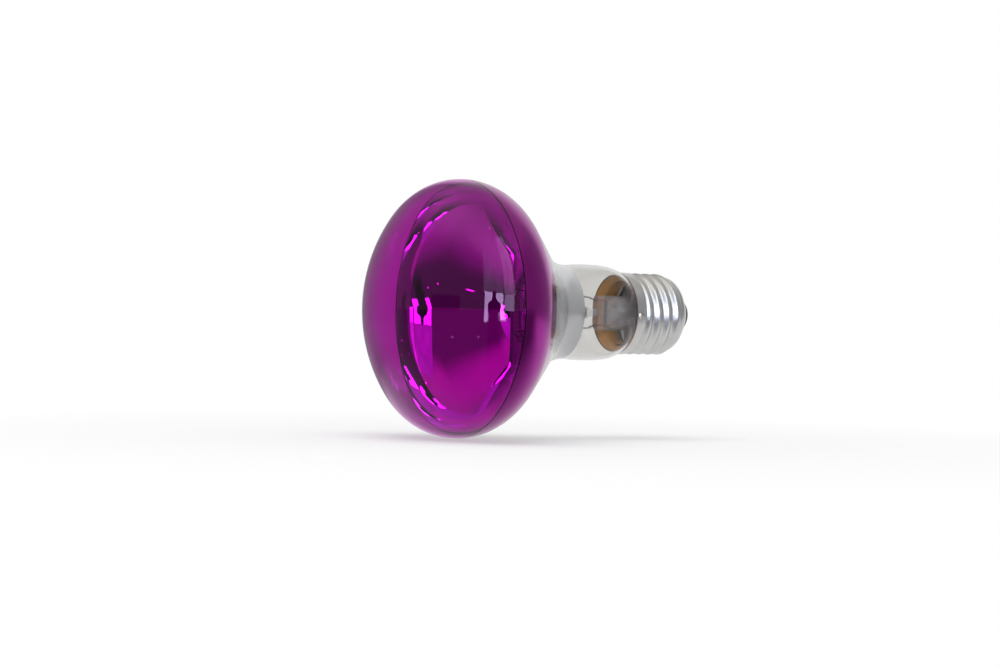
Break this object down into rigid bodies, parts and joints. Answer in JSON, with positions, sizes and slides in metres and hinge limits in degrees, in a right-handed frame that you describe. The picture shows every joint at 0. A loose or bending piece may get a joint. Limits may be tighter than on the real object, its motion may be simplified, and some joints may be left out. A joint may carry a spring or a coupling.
{
  "type": "reflector bulb",
  "caption": "Reflector bulb with a purple lacquered dome, a mirror-coated bowl behind it, a clear neck that shows the stem and leads, and an aluminium screw cap.",
  "frame": {"origin": "tip of the centre contact, on the lamp's axis", "axes": "the lamp lies along Y: the dome looks towards -Y (front), the cap's contact towards +Y; the press's broad side stands along Z and the side weld is on the +X side"},
  "size_m": [0.08, 0.112, 0.08],
  "materials": {
    "envelope_glass": "clear soda glass, with a transparent purple lacquer over the dome and an aluminium mirror inside the bowl",
    "stem_glass": "clear lead glass, fire polished",
    "rod_glass": "dark melted glass",
    "seal_metal": "copper-clad wire, dull red in the glass",
    "nickel": "drawn nickel wire",
    "molybdenum": "drawn molybdenum wire",
    "tungsten": "coiled tungsten wire",
    "copper": "bare drawn copper",
    "cement": "baked capping cement, matt",
    "cap_aluminium": "rolled sheet, satin bright",
    "black_glass": "black insulating glass, glossy",
    "contact_brass": "stamped brass",
    "solder": "tin solder, dull bright"
  },
  "bodies": {
    "root": {"envelope": "envelope_glass", "flare_stem": "stem_glass", "exhaust_tube": "stem_glass", "support_rod": "rod_glass", "seal_wire_upper": "seal_metal", "seal_wire_lower": "seal_metal", "inner_lead_upper": "nickel", "inner_lead_lower": "nickel", "filament_supports": "molybdenum", "filament": "tungsten", "side_lead": "copper", "contact_lead": "copper", "fuse_wire": "nickel", "contact_tail": "copper", "cap_cement": "cement", "cap_shell": "cap_aluminium", "cap_insulator": "black_glass", "contact_plate": "contact_brass", "contact_solder": "solder", "side_weld": "solder"}
  },
  "joints": []
}
